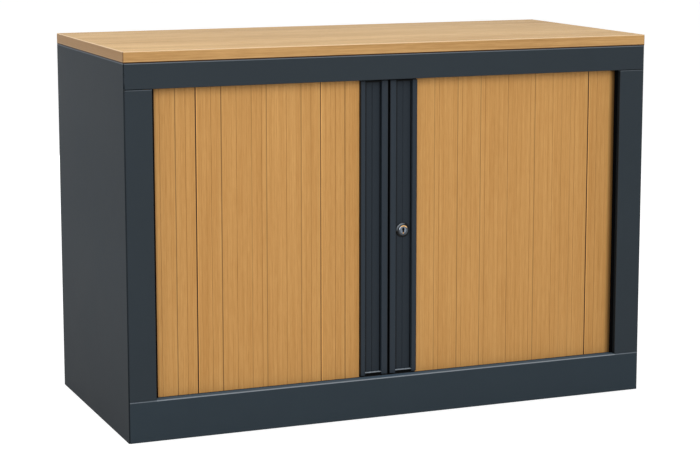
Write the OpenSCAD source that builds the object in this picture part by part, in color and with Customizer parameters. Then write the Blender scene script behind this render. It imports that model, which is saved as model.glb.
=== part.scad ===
// Low side-opening tambour cupboard: a folded-steel body, a wooden top and two
// curtains of vertical laths that slide apart and pass round the front corners
// into the sides. X runs to the right, Y to the back and Z up, in millimetres.
// The origin is on the floor, under the middle of the body.

/* [Body] */
// Width of the steel body
cabinet_w = 1000; // [800:10:1200]
// Depth of the steel body
cabinet_d = 450; // [400:10:600]
// Height of the steel body, without the wooden top
body_h = 655; // [600:5:1000]
// Thickness of the wooden top
top_t = 20; // [16:1:30]
// Radius of the wooden top's upright edges
top_corner_r = 1.5; // [0.5:0.5:6]
// Thickness of the body's sheet steel
sheet_t = 1; // [0.8:0.1:1.2]
// Radius of a fold, to the middle of the sheet
fold_r = 1.2; // [0.8:0.1:1.6]
// Gap between flat sheets that are assembled side by side
sheet_gap = 0.5; // [0.3:0.1:1]
// Depth of the flanges that stiffen the roof, the ceiling and the base
tray_flange = 14; // [8:1:20]
// Height of the notches above and below each sheet that passes a side panel's front edge
notch_clear = 4; // [3:0.5:6]

/* [Front frame] */
// Height of the plinth
plinth_h = 72.5; // [65:0.5:110]
// Depth of the ledge along the top of the plinth
ledge_d = 18; // [16:0.5:18.5]
// Overlap of the ledge's rear edge with the base sheet
ledge_lap = 3; // [2:0.5:8]
// Depth of the flange under the plinth
plinth_foot_d = 20; // [12:1:24]
// Height of the lip behind that flange
plinth_lip_h = 9; // [4:1:20]
// Height of the rail above the curtains
rail_h = 44.5; // [40:0.5:70]
// Width of the front posts
post_w = 50; // [46:1:70]
// Depth of the edge that each post turns in beside the curtain
post_return = 12; // [8:1:14]
// Depth of the edge that the rail turns in above the curtain
rail_return = 12; // [8:1:14]
// Height of the lip behind that edge
rail_lip_h = 6; // [4:0.5:8]
// Depth of the rail's upper flange, up to the roof sheet
rail_top_d = 20.5; // [18:0.5:30]
// Width of the shadow line between the front pieces and the side panels
corner_line = 2; // [0.5:0.1:2.5]
// Width of the seams at the posts' ends
post_seam = 0.8; // [0.3:0.1:2]
// Depth of the side panels' folded edges
side_flange = 14; // [10:1:20]

/* [Curtain] */
// Distance from the front plane back to the face of the curtain
curtain_setback = 21; // [20:0.5:24]
// Thickness of a lath
lath_t = 5; // [4.5:0.1:6]
// Distance between the flex grooves of a lath
rib_pitch = 9.2; // [8:0.1:12]
// Ribs in a whole lath
lath_ribs = 5; // [3:1:5]
// Length of curtain that stays behind the post when it is closed
tail_cover = 8; // [4:1:12]
// Radius of the flex grooves in a lath's face
groove_r = 0.3; // [0.2:0.1:0.8]
// Width of the relief slots in a lath's back
relief_w = 1; // [0.6:0.1:2]
// Material left between a flex groove and its relief slot
flex_web = 1.4; // [1:0.1:2]
// Gap between the faces of two laths
lath_gap = 0.3; // [0.2:0.1:1]
// Radius of the bead that hooks a lath to the one before it
bead_r = 1.35; // [1:0.05:1.4]
// Distance from a lath's edge to the middle of its bead
bead_reach = 1.9; // [1.7:0.1:2.2]
// Thickness of the neck that carries the bead
neck_t = 0.9; // [0.6:0.1:1.1]
// Clearance all round the bead and its neck
bead_clear = 0.1; // [0.05:0.01:0.15]

/* [Tracks] */
// Height of a track
track_h = 9; // [8:0.5:12]
// Thickness of a track's floor and walls
track_wall = 1.5; // [1:0.1:1.5]
// Clearance between a lath and each wall of the groove
track_clear = 0.5; // [0.3:0.1:0.6]
// Radius of the track's corner, to the middle of the groove
corner_r = 27; // [20:1:30]
// Width of the channel between the side panel and the lining
channel_w = 20; // [18:1:30]
// Clearance under the laths and the bars' tongues
glide_clear = 0.3; // [0.2:0.1:0.6]
// Clearance above the laths and the bars' tongues
lift_clear = 1; // [0.5:0.1:2]
// Distance from the back panel to the end of a track
track_end_gap = 18; // [10:1:30]
// Length of the stop blocks in the tracks
stop_l = 14; // [8:1:20]
// Clearance between a stop block and each wall of the groove
stop_clear = 0.1; // [0.05:0.05:0.3]
// Distance from the middle of the track's corner back to the front of the lining
lining_setback = 2.5; // [1:0.5:6]
// Gap between a track and the floor's front edge
floor_gap = 1; // [0.5:0.5:3]

/* [Leading bars] */
// Width of each bar
bar_w = 53; // [50:1:70]
// Depth of each bar
bar_d = 14; // [13:0.5:16]
// Distance that the bars stand proud of the curtain
bar_proud = 6; // [5:0.5:7]
// Width of the fin on the curtain side
outer_fin_w = 9; // [8:0.5:12]
// Width of the fin on the meeting side
inner_fin_w = 12; // [10:0.5:14]
// Wall of the bar's profile
bar_wall = 1.6; // [1.2:0.1:2]
// Radius of the fins' outer edges
fin_r = 0.9; // [0.5:0.1:1.4]
// Depth of the finger pull
pull_depth = 8; // [7:0.5:8]
// Thickness of the finger pull's floor
pull_floor_t = 2; // [1.6:0.1:2.4]
// Radius of the groove down the middle of the finger pull
pull_groove_r = 0.7; // [0.4:0.1:1]
// Width of the shadow grooves down both sides of the finger pull
pull_edge_w = 1.6; // [1:0.1:2.4]
// Depth of those grooves
pull_edge_d = 1.1; // [0.5:0.1:1.3]
// Place of the meeting line, left of the middle when negative
meeting_x = -9.5; // [-20:0.5:20]
// Gap between the closed bars
meeting_gap = 3.5; // [1:0.5:6]
// Gap above and below the bars
bar_end_gap = 3; // [2:0.5:6]
// Distance from an open bar to the post's edge
open_gap = 2; // [1:0.5:10]
// Thickness of the ledge and walls of the bars' end caps
cap_t = 2.2; // [1.8:0.1:3]
// Height of the lower cap's ledge above the bar's end
cap_ledge_rise = 2; // [1:0.5:8]
// Height of the cap's rear wall
cap_rear_h = 20; // [12:1:30]
// Distance from the bar's meeting edge to the cap's tongue
tongue_inset = 3; // [2:0.5:8]
// Clearance between a cap and the fins beside it
cap_clear = 0.2; // [0.1:0.1:0.5]

/* [Lock] */
// Height of the lock above the floor
lock_z = 336; // [250:1:450]
// Radius of the lock's collar
collar_r = 13.25; // [12:0.25:14]
// Thickness of the lock's collar
collar_t = 2.5; // [1.5:0.5:4]
// Width of the collar's bevel
collar_bevel = 1.2; // [0.4:0.1:1.4]
// Radius of the lock's bezel
bezel_r = 9.75; // [9.5:0.25:11]
// Thickness of the lock's bezel
bezel_t = 2.8; // [2:0.1:4]
// Width of the bezel's bevel
bezel_bevel = 0.8; // [0.3:0.1:1.2]
// Radius of the lock's barrel
barrel_r = 9; // [8:0.1:9.2]
// Clearance round the barrel and round the plug
lock_clear = 0.05; // [0.02:0.01:0.1]
// Radius of the turning plug
plug_r = 7; // [5.5:0.1:7.2]
// Distance that the plug's face is set back in the bezel
plug_setback = 0.6; // [0.2:0.1:1.5]
// Width of the keyway
keyway_w = 2.4; // [1.6:0.1:3]
// Height of the keyway
keyway_h = 9; // [6:0.5:10]
// Depth of the keyway
keyway_depth = 12; // [6:1:14]
// Thickness of the lock's nut
lock_nut_t = 4; // [3:0.5:5]
// Width across the flats of the lock's nut
lock_nut_af = 24; // [21:0.5:26]
// Length of thread that stands out behind the nut
barrel_tail = 3; // [1:0.5:6]
// Thickness of the hook
hook_t = 2; // [1.5:0.1:3]
// Width of the hook's arm
hook_w = 12; // [10:0.5:16]
// Radius of the hook's hub
hook_hub_r = 8; // [6.5:0.5:10]
// Metal beyond the end of the hook's slot
hook_nose = 3; // [2:0.5:5]
// Running gap between the hook and the barrel
hook_clear = 0.3; // [0.2:0.1:0.6]
// Width of the square on the plug's tail
tail_square = 7; // [5:0.5:8]
// Length of the square that stands out behind the hook
tail_end = 1; // [0.5:0.5:3]
// Radius of the keeper pin's shank
pin_r = 2.25; // [2:0.25:2.5]
// Clearance between the pin and the hook's slot
pin_clear = 1; // [0.6:0.1:1.2]
// Radius of the keeper pin's head and foot
pin_head_r = 5; // [4:0.5:6]
// Thickness of the keeper pin's head and foot
pin_head_t = 1.5; // [1:0.25:2.5]
// Distance from the left bar's meeting edge to the keeper pin
pin_inset = 6; // [5.5:0.5:7]

/* [Inside] */
// Height of the shelf's upper face
shelf_z = 341; // [250:5:450]
// Depth of the shelf's edges
shelf_edge = 25; // [15:1:40]
// Width of the shelf edges' inner fold
shelf_return = 9; // [6:1:15]
// Gap from the shelf to the linings
shelf_side_gap = 1.5; // [1:0.5:4]
// Gap from the shelf to the lining's front lip
shelf_front_gap = 3; // [2:0.5:10]
// Gap from the shelf to the back panel
shelf_back_gap = 18; // [10:1:60]
// Width of the lining's front lip
lining_lip = 20; // [12:1:24]
// Width of the lining's rear lip
lining_rear_lip = 12; // [8:1:20]
// Distance between the shelf slots
slot_pitch = 25; // [20:1:50]
// Width of a shelf slot
slot_w = 3.2; // [2.5:0.1:3.8]
// Height of a shelf slot
slot_h = 9; // [7:0.5:12]
// Distance from the lining's ends to its first shelf slot
slot_margin = 70; // [40:5:100]
// Distance from the lining's edges to its rows of slots
slot_row_inset = 45; // [30:1:80]
// Width of a shelf clip
clip_w = 14; // [10:1:20]
// Distance that a shelf clip stands out of the lining
clip_out = 12; // [8:1:16]
// Height of a shelf clip
clip_h = 11; // [8:1:16]
// Clearance round the clip's tab in its slot
clip_clear = 0.2; // [0.1:0.05:0.4]
// Thickness of a clip's plate against the lining
clip_t = 2; // [1.5:0.1:3]
// Thickness of the ledge that the shelf lies on
clip_ledge_t = 3; // [2:0.25:5]
// Distance that a clip's tab reaches through the lining
tab_reach = 2; // [1:0.5:4]

/* [Feet and screws] */
// Distance from the body's sides to the middle of a foot
foot_inset_x = 52; // [45:1:120]
// Distance from the front plane to the front feet
foot_inset_front = 46; // [42:1:80]
// Distance from the rear plane to the rear feet
foot_inset_back = 36; // [30:1:80]
// Radius of a foot's pad
pad_r = 20; // [15:1:24]
// Height of a foot's pad
pad_h = 7; // [5:0.5:12]
// Bevel under a foot's pad
pad_bevel = 1; // [0.5:0.5:2]
// Height of the pad's rim
pad_rim_h = 3; // [2:0.5:5]
// Radius of the hub on a foot's pad
pad_hub_r = 9; // [7:0.5:12]
// Height of that hub above the pad
pad_hub_h = 4; // [2:0.5:5]
// Radius of a foot's threaded stem
stem_r = 4; // [3:0.5:5]
// Running clearance between the stem and its nut
stem_clear = 0.05; // [0.02:0.01:0.1]
// Width of the slot in the stem's end
stem_slot_w = 1.4; // [1:0.1:2]
// Depth of the slot in the stem's end
stem_slot_d = 2; // [1:0.5:4]
// Gap from the top of the stem to the cap above it
stem_top_gap = 2; // [1:0.5:5]
// Height of the foot nut
foot_nut_h = 8; // [5:0.5:10]
// Width across the flats of the foot nut
foot_nut_af = 14; // [12:0.5:18]
// Thickness of the foot bracket
bracket_t = 2; // [1.5:0.1:3]
// Width of the foot bracket's seat
bracket_w = 44; // [36:1:60]
// Length of the foot bracket
bracket_l = 40; // [30:1:60]
// Drop of the foot bracket below the base
bracket_drop = 13; // [11:0.5:16]
// Width of the foot bracket's flanges
bracket_flange = 12; // [8:1:20]
// Radius of the access holes over the feet
access_r = 7; // [6:0.5:10]
// Radius of the access caps
access_cap_r = 10; // [8.5:0.5:14]
// Thickness of an access cap
access_cap_t = 1.5; // [1:0.25:3]
// Wall of an access cap's collar
access_cap_wall = 1; // [0.8:0.1:2]
// Radius of a top screw's shank
screw_r = 2; // [1.5:0.25:2.5]
// Radius of a top screw's head
screw_head_r = 4.2; // [3.5:0.1:6]
// Height of a top screw's head
screw_head_h = 2.8; // [2:0.1:4]
// Taper of a top screw's head
screw_head_taper = 0.6; // [0.2:0.1:1]
// Length of each slot of the cross in a screw's head
screw_cross_l = 5; // [3:0.5:6]
// Width of the cross's slots
screw_cross_w = 1; // [0.6:0.1:1.4]
// Depth of the cross
screw_cross_d = 1.2; // [0.8:0.1:1.8]
// Clearance round a screw's head in the ceiling sheet
screw_access = 3; // [1:0.5:6]
// Depth that the top screws reach into the wooden top
screw_grip = 13; // [8:0.5:13]
// Clearance round a screw's shank
screw_clear = 0.05; // [0.02:0.01:0.2]
// Distance from the body's sides to the outer top screws
screw_inset_x = 100; // [60:5:200]
// Distance from the body's front and rear planes to the top screws
screw_inset_y = 75; // [50:5:120]

/* [Hidden] */
$fn = 64;
// Space that keeps one cut clear of the face it starts from
cut = 1;

// Planes of the body
half_w = cabinet_w / 2;
front_y = -cabinet_d / 2;
back_y = cabinet_d / 2;
side_in = half_w - sheet_t;
face_back = front_y + sheet_t;
back_panel_y = back_y - 2 * sheet_t;
front_edge_x = half_w - corner_line;
opening_bottom = plinth_h;
opening_top = body_h - rail_h;
ledge_back = front_y + ledge_d;

// Curtain path
curtain_y = front_y + curtain_setback;
path_y = curtain_y + lath_t / 2;
groove_w = lath_t + 2 * track_clear;
track_w = groove_w + 2 * track_wall;
base_top = opening_bottom - track_h;
ceiling_bottom = opening_top + track_h;
groove_floor = base_top + track_wall;
groove_roof = ceiling_bottom - track_wall;
lining_x = side_in - channel_w;
side_path_x = side_in - channel_w / 2;
arc_x = side_path_x - corner_r;
arc_y = path_y + corner_r;
track_end_y = back_panel_y - track_end_gap;

// Laths
lath_pitch = rib_pitch * lath_ribs;
lath_bottom = groove_floor + glide_clear;
lath_top = groove_roof - lift_clear;
post_edge_x = half_w - post_w;
socket_r = bead_r + bead_clear;
relief_depth = lath_t - groove_r - flex_web;

// Bars, measured along X from the middle of the body towards their own side
bar_inner_x = [for (side = [-1, 1]) meeting_gap / 2 + side * meeting_x];
bar_outer_x = [for (inner = bar_inner_x) inner + bar_w];
bar_front = curtain_y - bar_proud;
bar_back = bar_front + bar_d;
bar_bottom = opening_bottom + bar_end_gap;
bar_top = opening_top - bar_end_gap;
pull_floor_y = bar_front + pull_depth;
pull_w = bar_w - inner_fin_w - outer_fin_w;
pull_mid = inner_fin_w + pull_w / 2;
travel = [for (outer = bar_outer_x) post_edge_x - open_gap - outer];

// Ribs and laths on the left and on the right
ribs = [for (outer = bar_outer_x) ceil((post_edge_x + tail_cover - outer) / rib_pitch)];
laths = [for (count = ribs) ceil(count / lath_ribs)];
tail_x = [for (side = [0, 1]) bar_outer_x[side] + ribs[side] * rib_pitch];

// Where each curtain's tail arrives in its side channel: at the end of its
// travel, or where the stop block has just its own length left in the track
tail_y = [
    for (side = [0, 1])
        min(
            arc_y + tail_x[side] - arc_x + travel[side] - corner_r * PI / 2,
            track_end_y - stop_l - glide_clear
        )
];

// Lock, whose hook turns about lock_x
lock_x = bar_inner_x[1] + pull_mid;
collar_front = pull_floor_y - collar_t;
bezel_front = collar_front - bezel_t;
pull_floor_back = pull_floor_y + pull_floor_t;
barrel_end = pull_floor_back + lock_nut_t + barrel_tail;
hook_front = barrel_end + hook_clear;
hook_back = hook_front + hook_t;
pin_x = meeting_x - meeting_gap / 2 - pin_inset;
pin_reach = lock_x - pin_x;
slot_half = pin_r + pin_clear;
hook_reach = pin_reach + slot_half + hook_nose;

// Linings and shelf
lining_front = arc_y + lining_setback;
slot_rows = [lining_front + slot_row_inset, back_panel_y - slot_row_inset];
slot_count = floor((opening_top - opening_bottom - 2 * slot_margin) / slot_pitch) + 1;
slot_first = opening_bottom + slot_margin;
shelf_front = lining_front + sheet_t + shelf_front_gap;
shelf_back = back_panel_y - shelf_back_gap;
shelf_half = lining_x - sheet_t - shelf_side_gap;
clip_top = shelf_z - sheet_t;

// Feet and screws
foot_spots = [
    [-(half_w - foot_inset_x), front_y + foot_inset_front],
    [half_w - foot_inset_x, front_y + foot_inset_front],
    [-(half_w - foot_inset_x), back_y - foot_inset_back],
    [half_w - foot_inset_x, back_y - foot_inset_back]
];
base_under = base_top - sheet_t;
seat_top = base_under - bracket_drop + bracket_t;
stem_top = opening_bottom - sheet_t - stem_top_gap;
screw_spots = [
    for (x = [-(half_w - screw_inset_x), 0, half_w - screw_inset_x])
        for (y = [front_y + screw_inset_y, back_y - screw_inset_y]) [x, y]
];

steel = "#343a40";
side_steel = "#3c4245";
oak = "#bf8e53";
dark_plastic = "#202326";
bright = "#b9bcc0";
zinc = "#9aa0a4";

// Everything on one side is drawn on the right, where side is 1, and is
// mirrored to the left, where side is 0.
module on_side(side) {
    mirror([1 - side, 0, 0])
        children();
}

// A profile drawn in Y and Z, extruded along X to both sides of the middle.
module along_x(length) {
    rotate([90, 0, 90])
        translate([0, 0, -length / 2])
            linear_extrude(length)
                children();
}

// A block from its lowest to its highest corner.
module block(low, high) {
    translate(low)
        cube(high - low);
}

// The quarter of a ring that joins two runs of a folded sheet.
module fold(corner, before, after, t, r) {
    reach = (before - after) * (r + t / 2);
    translate(corner + (after - before) * r)
        intersection() {
            difference() {
                circle(r + t / 2);
                circle(r - t / 2);
            }
            translate([min(0, reach.x), min(0, reach.y)])
                square([abs(reach.x), abs(reach.y)]);
        }
}

// Profile of a sheet folded at right angles, given the line down its middle.
module folded(points, t = sheet_t, r = fold_r) {
    last = len(points) - 1;
    unit = [for (i = [0:last - 1]) (points[i + 1] - points[i]) / norm(points[i + 1] - points[i])];
    for (i = [0:last - 1]) {
        start = points[i] + (i > 0 ? r : 0) * unit[i];
        finish = points[i + 1] - (i < last - 1 ? r : 0) * unit[i];
        half = [abs(unit[i].y), abs(unit[i].x)] * t / 2;
        low = [min(start.x, finish.x), min(start.y, finish.y)] - half;
        high = [max(start.x, finish.x), max(start.y, finish.y)] + half;
        translate(low)
            square(high - low);
    }
    for (i = [1:1:last - 1])
        fold(points[i], unit[i - 1], unit[i], t, r);
}

// A rectangle with round corners.
module rounded(size, r) {
    translate([r, 0])
        square([size.x - 2 * r, size.y]);
    translate([0, r])
        square([size.x, size.y - 2 * r]);
    for (x = [r, size.x - r], y = [r, size.y - r])
        translate([x, y])
            circle(r);
}

// Wooden top, with pilot holes for its screws.
module top_panel() {
    color(oak)
        difference() {
            translate([-half_w, front_y, body_h])
                linear_extrude(top_t)
                    rounded([cabinet_w, cabinet_d], top_corner_r);
            for (spot = screw_spots)
                translate([spot.x, spot.y, body_h - cut])
                    cylinder(h = cut + screw_grip + cut, r = screw_r + screw_clear);
        }
}

// Roof sheet with turned-down front and rear edges, drilled for the screws.
module roof_pan() {
    half = sheet_t / 2;
    front = front_y + rail_top_d + half;
    rear = back_panel_y - half;
    color(steel)
        difference() {
            along_x(2 * side_in)
                folded([
                    [front, body_h - tray_flange], [front, body_h - half],
                    [rear, body_h - half], [rear, body_h - tray_flange]
                ]);
            for (spot = screw_spots)
                translate([spot.x, spot.y, body_h - sheet_t - cut])
                    cylinder(h = sheet_t + 2 * cut, r = screw_r + 2 * screw_clear);
        }
}

// Screws that hold the wooden top from below.
module top_screws() {
    color(zinc)
        for (spot = screw_spots)
            translate([spot.x, spot.y, body_h - sheet_t]) {
                cylinder(h = sheet_t + screw_grip, r = screw_r);
                difference() {
                    translate([0, 0, -screw_head_h])
                        cylinder(
                            h = screw_head_h,
                            r1 = screw_head_r - screw_head_taper,
                            r2 = screw_head_r
                        );
                    translate([0, 0, -screw_head_h - cut])
                        linear_extrude(cut + screw_cross_d) {
                            square([screw_cross_l, screw_cross_w], center = true);
                            square([screw_cross_w, screw_cross_l], center = true);
                        }
                }
            }
}

// Sheet over the curtains, with turned-up edges and holes under the screws.
module ceiling_tray() {
    half = sheet_t / 2;
    front = face_back + half;
    rear = back_panel_y - half;
    color(steel)
        difference() {
            along_x(2 * side_in)
                folded([
                    [front, ceiling_bottom + tray_flange], [front, ceiling_bottom + half],
                    [rear, ceiling_bottom + half], [rear, ceiling_bottom + tray_flange]
                ]);
            for (spot = screw_spots)
                translate([spot.x, spot.y, ceiling_bottom - cut])
                    cylinder(h = sheet_t + 2 * cut, r = screw_head_r + screw_access);
        }
}

// Side panel folded in at the front and back. Its front edge is notched where
// the plinth, the rail and the ceiling pass it.
module side_panel(side) {
    half = sheet_t / 2;
    notches = [
        [-cut, notch_clear],
        [opening_bottom - notch_clear, opening_bottom + notch_clear],
        [opening_top - notch_clear, ceiling_bottom + tray_flange + notch_clear],
        [body_h - notch_clear, body_h + cut]
    ];
    color(side_steel)
        on_side(side)
            difference() {
                linear_extrude(body_h)
                    folded([
                        [half_w - side_flange, face_back + half], [half_w - half, face_back + half],
                        [half_w - half, back_y - half], [half_w - side_flange, back_y - half]
                    ]);
                for (notch = notches)
                    block(
                        [half_w - side_flange - cut, face_back - cut, notch[0]],
                        [side_in, face_back + sheet_t + cut, notch[1]]
                    );
            }
}

// Front post with its edge turned in beside the curtain.
module post(side) {
    half = sheet_t / 2;
    color(steel)
        on_side(side)
            translate([0, 0, opening_bottom + post_seam])
                linear_extrude(opening_top - opening_bottom - 2 * post_seam)
                    folded([
                        [front_edge_x, front_y + half], [post_edge_x + half, front_y + half],
                        [post_edge_x + half, front_y + post_return]
                    ]);
}

// Rail above the curtains.
module top_rail() {
    half = sheet_t / 2;
    color(steel)
        along_x(2 * front_edge_x)
            folded([
                [front_y + rail_top_d, body_h - half], [front_y + half, body_h - half],
                [front_y + half, opening_top + half], [front_y + rail_return, opening_top + half],
                [front_y + rail_return, opening_top + rail_lip_h]
            ]);
}

// Plinth with a ledge on top and a foot flange below.
module plinth() {
    half = sheet_t / 2;
    color(steel)
        along_x(2 * front_edge_x)
            folded([
                [front_y + plinth_foot_d, plinth_lip_h], [front_y + plinth_foot_d, half],
                [front_y + half, half], [front_y + half, opening_bottom - half],
                [ledge_back - half, opening_bottom - half], [ledge_back - half, base_top - ledge_lap]
            ]);
}

// Base sheet that carries the tracks, the linings and the floor.
module base_pan() {
    half = sheet_t / 2;
    front = ledge_back + half;
    rear = back_panel_y - half;
    color(steel)
        difference() {
            along_x(2 * side_in)
                folded([
                    [front, base_top - tray_flange], [front, base_top - half],
                    [rear, base_top - half], [rear, base_top - tray_flange]
                ]);
            for (spot = foot_spots)
                translate([spot.x, spot.y, base_top - sheet_t - cut])
                    cylinder(h = sheet_t + 2 * cut, r = access_r);
        }
}

// The ring round a corner of the track that the floor has to leave free.
module corner_clearance(side) {
    on_side(side)
        translate([arc_x, arc_y])
            intersection() {
                difference() {
                    circle(corner_r + track_w / 2 + sheet_gap);
                    circle(corner_r - track_w / 2 - sheet_gap);
                }
                translate([0, -2 * corner_r])
                    square(2 * corner_r);
            }
}

// Floor of the cupboard, level with the plinth's ledge.
module floor_tray() {
    half = sheet_t / 2;
    front = path_y + track_w / 2 + floor_gap + half;
    rear = back_panel_y - sheet_t - half;
    color(steel)
        difference() {
            along_x(2 * (lining_x - half - fold_r))
                folded([
                    [front, base_top], [front, opening_bottom - half],
                    [rear, opening_bottom - half], [rear, base_top]
                ]);
            for (side = [0, 1])
                translate([0, 0, base_top - cut])
                    linear_extrude(track_h + 2 * cut)
                        corner_clearance(side);
            for (spot = foot_spots)
                translate([spot.x, spot.y, opening_bottom - sheet_t - cut])
                    cylinder(h = sheet_t + 2 * cut, r = access_r);
        }
}

// Caps over the access holes.
module access_caps() {
    color(dark_plastic)
        for (spot = foot_spots)
            translate([spot.x, spot.y, opening_bottom]) {
                cylinder(h = access_cap_t, r = access_cap_r);
                translate([0, 0, -sheet_t])
                    difference() {
                        cylinder(h = sheet_t + access_cap_t / 2, r = access_r - clip_clear);
                        translate([0, 0, -cut])
                            cylinder(h = sheet_t + cut, r = access_r - clip_clear - access_cap_wall);
                    }
            }
}

// Back panel between the side panels' rear edges.
module back_panel() {
    color(steel)
        block(
            [-(side_in - fold_r), back_panel_y, sheet_t],
            [side_in - fold_r, back_y - sheet_t, body_h - sheet_t]
        );
}

// Inner lining that the curtain runs behind, slotted for the shelf clips.
module lining(side) {
    half = sheet_t / 2;
    lip_x = lining_x - lining_lip;
    color(side_steel)
        on_side(side)
            difference() {
                translate([0, 0, base_top])
                    linear_extrude(ceiling_bottom - base_top)
                        folded([
                            [lip_x, lining_front + half], [lining_x - half, lining_front + half],
                            [lining_x - half, back_panel_y - half],
                            [lining_x - lining_rear_lip, back_panel_y - half]
                        ]);
                block(
                    [lip_x - cut, lining_front - cut, base_top - cut],
                    [
                        lining_x - sheet_t - sheet_gap / 2,
                        lining_front + notch_clear,
                        opening_bottom + sheet_gap
                    ]
                );
                for (y = slot_rows, i = [0:slot_count - 1])
                    block(
                        [lining_x - sheet_t - cut, y - slot_w / 2, slot_first + i * slot_pitch],
                        [lining_x + cut, y + slot_w / 2, slot_first + i * slot_pitch + slot_h]
                    );
            }
}

// Steel shelf with folded front and rear edges.
module shelf() {
    half = sheet_t / 2;
    low = shelf_z - shelf_edge + half;
    color(side_steel)
        along_x(2 * shelf_half)
            folded([
                [shelf_front + shelf_return, low], [shelf_front + half, low],
                [shelf_front + half, shelf_z - half], [shelf_back - half, shelf_z - half],
                [shelf_back - half, low], [shelf_back - shelf_return, low]
            ]);
}

// Clips that hang in the linings' slots and carry the shelf.
module shelf_clips() {
    tab = slot_w / 2 - clip_clear;
    steps = round((clip_top - clip_h - slot_first) / slot_pitch);
    slot_low = slot_first + steps * slot_pitch;
    color(zinc)
        for (side = [0, 1], y = slot_rows)
            on_side(side) {
                block(
                    [lining_x - sheet_t - clip_out, y - clip_w / 2, clip_top - clip_ledge_t],
                    [lining_x - sheet_t, y + clip_w / 2, clip_top]
                );
                block(
                    [lining_x - sheet_t - clip_t, y - clip_w / 2, min(slot_low, clip_top - clip_h)],
                    [lining_x - sheet_t, y + clip_w / 2, clip_top]
                );
                block(
                    [lining_x - sheet_t - clip_t / 2, y - tab, slot_low + clip_clear],
                    [lining_x + tab_reach, y + tab, slot_low + slot_h - clip_clear]
                );
            }
}

// Plan of a strip of the given width along a curtain's path.
module path_strip(width, start_x, end_y) {
    translate([start_x, path_y - width / 2])
        square([arc_x - start_x, width]);
    translate([arc_x, arc_y])
        intersection() {
            difference() {
                circle(corner_r + width / 2);
                circle(corner_r - width / 2);
            }
            translate([0, -2 * corner_r])
                square(2 * corner_r);
        }
    translate([side_path_x - width / 2, arc_y])
        square([width, end_y - arc_y]);
}

// Grooved track. Its floor is at z and its mouth is turned up or down.
module track(side, z, up) {
    start_x = (side * 2 - 1) * meeting_x + sheet_gap / 2;
    color(dark_plastic)
        on_side(side)
            difference() {
                translate([0, 0, z])
                    linear_extrude(track_h)
                        path_strip(track_w, start_x, track_end_y);
                translate([0, 0, up ? z + track_wall : z - track_wall])
                    linear_extrude(track_h)
                        path_strip(groove_w, start_x - cut, track_end_y + cut);
            }
}

// Blocks at the tracks' rear ends, where the open curtain's tail arrives.
module track_stops() {
    half = groove_w / 2 - stop_clear;
    color(dark_plastic)
        for (side = [0, 1], z = [[groove_floor, opening_bottom], [opening_top, groove_roof]])
            on_side(side)
                block(
                    [side_path_x - half, tail_y[side] + glide_clear, z[0]],
                    [side_path_x + half, tail_y[side] + glide_clear + stop_l, z[1]]
                );
}

// Bracket with a welded nut under the base, for a levelling foot.
module foot_bracket() {
    half = bracket_t / 2;
    seat = seat_top - half;
    rim = base_under - half;
    wall = bracket_w / 2;
    difference() {
        union() {
            rotate([90, 0, 0])
                translate([0, 0, -bracket_l / 2])
                    linear_extrude(bracket_l)
                        folded([
                            [-wall - bracket_flange, rim], [-wall, rim], [-wall, seat],
                            [wall, seat], [wall, rim], [wall + bracket_flange, rim]
                        ], bracket_t, bracket_t);
            translate([0, 0, seat_top])
                cylinder(h = foot_nut_h, r = foot_nut_af / sqrt(3), $fn = 6);
        }
        translate([0, 0, seat_top - bracket_t - cut])
            cylinder(h = bracket_t + foot_nut_h + 2 * cut, r = stem_r + stem_clear);
    }
}

// The four foot brackets.
module foot_brackets() {
    color(zinc)
        for (spot = foot_spots)
            translate([spot.x, spot.y, 0])
                foot_bracket();
}

// Levelling foot: a plastic pad on a threaded stem with a slotted end.
module levelling_foot(spot) {
    color(dark_plastic)
        translate([spot.x, spot.y, 0]) {
            rotate_extrude()
                polygon([
                    [0, 0], [pad_r - pad_bevel, 0], [pad_r, pad_bevel], [pad_r, pad_rim_h],
                    [pad_hub_r, pad_h], [pad_hub_r, pad_h + pad_hub_h], [0, pad_h + pad_hub_h]
                ]);
            difference() {
                cylinder(h = stem_top, r = stem_r);
                block(
                    [-stem_r - cut, -stem_slot_w / 2, stem_top - stem_slot_d],
                    [stem_r + cut, stem_slot_w / 2, stem_top + cut]
                );
            }
        }
}

// Profile of one lath, from its inner edge. The bead is on that edge and the
// socket for the next lath is at the other end, except on the last lath.
module lath_profile(rib_count, last) {
    width = rib_count * rib_pitch;
    mid = lath_t / 2;
    edge = lath_gap / 2;
    difference() {
        translate([edge, 0])
            square([width - 2 * edge, lath_t]);
        for (i = [1:1:rib_count - 1]) {
            translate([i * rib_pitch, 0])
                circle(groove_r);
            translate([i * rib_pitch - relief_w / 2, lath_t - relief_depth])
                square([relief_w, relief_depth + cut]);
        }
        for (u = [edge, width - edge])
            translate([u, 0])
                circle(groove_r);
        if (!last) {
            translate([width - bead_reach, mid])
                circle(socket_r);
            translate([width - bead_reach, mid - neck_t / 2 - bead_clear])
                square([bead_reach + cut, neck_t + 2 * bead_clear]);
        }
    }
    translate([-bead_reach, mid])
        circle(bead_r);
    translate([-bead_reach, mid - neck_t / 2])
        square([bead_reach + edge + 2 * bead_clear, neck_t]);
}

// Lath number i of a curtain, counted from its leading bar.
module lath(side, i) {
    last = i == laths[side];
    rib_count = last ? ribs[side] - (i - 1) * lath_ribs : lath_ribs;
    color(oak)
        on_side(side)
            translate([bar_outer_x[side] + (i - 1) * lath_pitch, curtain_y, lath_bottom])
                linear_extrude(lath_top - lath_bottom)
                    lath_profile(rib_count, last);
}

// One hollow fin of a leading bar.
module fin_profile(width) {
    difference() {
        rounded([width, bar_d], fin_r);
        translate([bar_wall, bar_wall])
            square([width - 2 * bar_wall, bar_d - 2 * bar_wall]);
    }
}

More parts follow.
